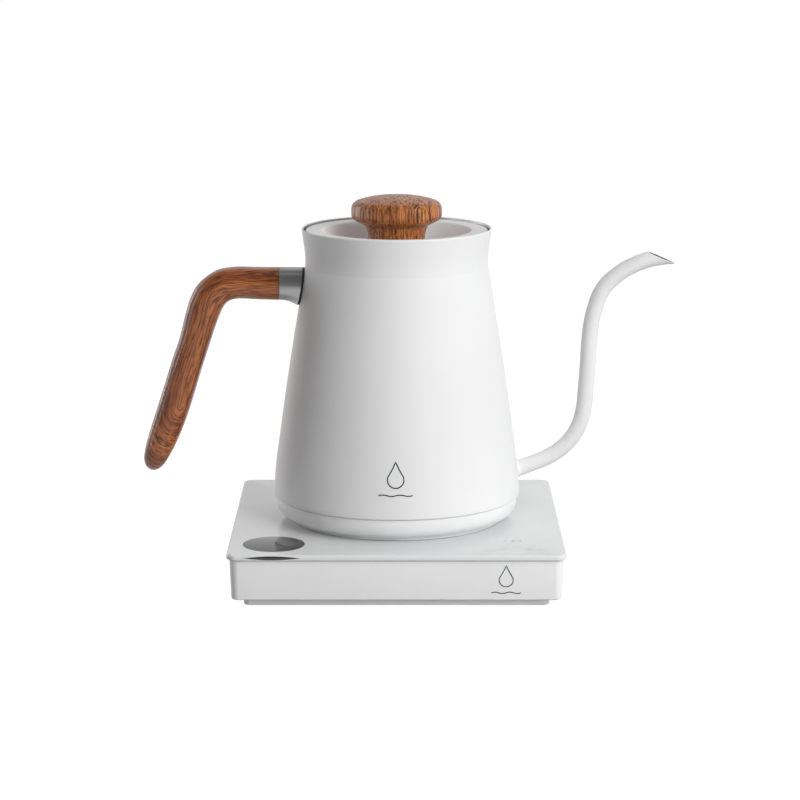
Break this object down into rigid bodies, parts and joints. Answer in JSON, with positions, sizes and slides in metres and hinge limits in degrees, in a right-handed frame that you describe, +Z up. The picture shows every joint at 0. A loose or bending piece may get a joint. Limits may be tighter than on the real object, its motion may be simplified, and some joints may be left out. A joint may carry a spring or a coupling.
{
  "type": "electric gooseneck kettle",
  "caption": "Electric pour-over kettle with a gooseneck spout, wooden handle and lid knob, standing on a square touch-control heating base.",
  "frame": {"origin": "on the standing surface, on the upright axis shared by the kettle and its base", "axes": "+X the way the spout pours, -X the handle, -Y the side with the display and touch keys, +Z up"},
  "size_m": [0.286, 0.176, 0.2054],
  "materials": {
    "white_paint": "matte powder coat",
    "white_plastic": "satin",
    "white_glass": "polished, white backed",
    "display_glass": "smoked",
    "wood": "oiled",
    "steel": "brushed",
    "aluminium": "cast",
    "brass": "satin",
    "black_rubber": "matte",
    "silicone": "translucent matte",
    "circuit_board": "solder mask",
    "black_plastic": "moulded"
  },
  "bodies": {
    "base": {"base_housing": "white_plastic", "glass_plate": "white_glass", "display_window": "display_glass", "display_module": "black_plastic", "touch_board": "circuit_board", "base_plinth": "white_plastic", "power_board": "circuit_board", "transformer": "black_plastic", "relay": "black_plastic", "cord_gland": "black_rubber", "rubber_foot_1": "black_rubber", "rubber_foot_2": "black_rubber", "rubber_foot_3": "black_rubber", "rubber_foot_4": "black_rubber", "base_screw_1": "steel", "base_screw_2": "steel", "base_screw_3": "steel", "base_screw_4": "steel", "coupler_boss": "black_plastic", "contact_ring": "brass"},
    "socket": {"coupler_socket": "black_plastic", "socket_pin": "brass"},
    "kettle": {"body_shell": "white_paint", "spout_tube": "white_paint", "bottom_cover": "white_plastic", "kettle_floor": "steel", "heat_spreader": "aluminium", "heating_element": "steel", "thermal_cutout": "black_plastic", "temperature_probe": "steel", "cover_post_1": "steel", "cover_screw_1": "steel", "cover_post_2": "steel", "cover_screw_2": "steel", "cover_post_3": "steel", "cover_screw_3": "steel", "handle_grip": "wood", "handle_ferrule": "steel", "handle_gasket": "black_rubber", "handle_bracket": "steel", "handle_screw": "steel"},
    "lid": {"lid_cup": "white_paint", "lid_liner": "steel", "lid_gasket": "silicone", "lid_knob": "wood", "knob_screw": "steel"}
  },
  "joints": [
    {"name": "kettle_lift", "type": "slide", "parent": "base", "child": "socket", "axis": [0, 0, 1], "range_m": [0, 0.09]},
    {"name": "kettle_swivel", "type": "hinge", "parent": "socket", "child": "kettle", "pos_m": [0, 0, 0.036], "axis": [0, 0, 1], "continuous": true},
    {"name": "lid_lift", "type": "slide", "parent": "kettle", "child": "lid", "axis": [0, 0, 1], "range_m": [0, 0.06]}
  ]
}
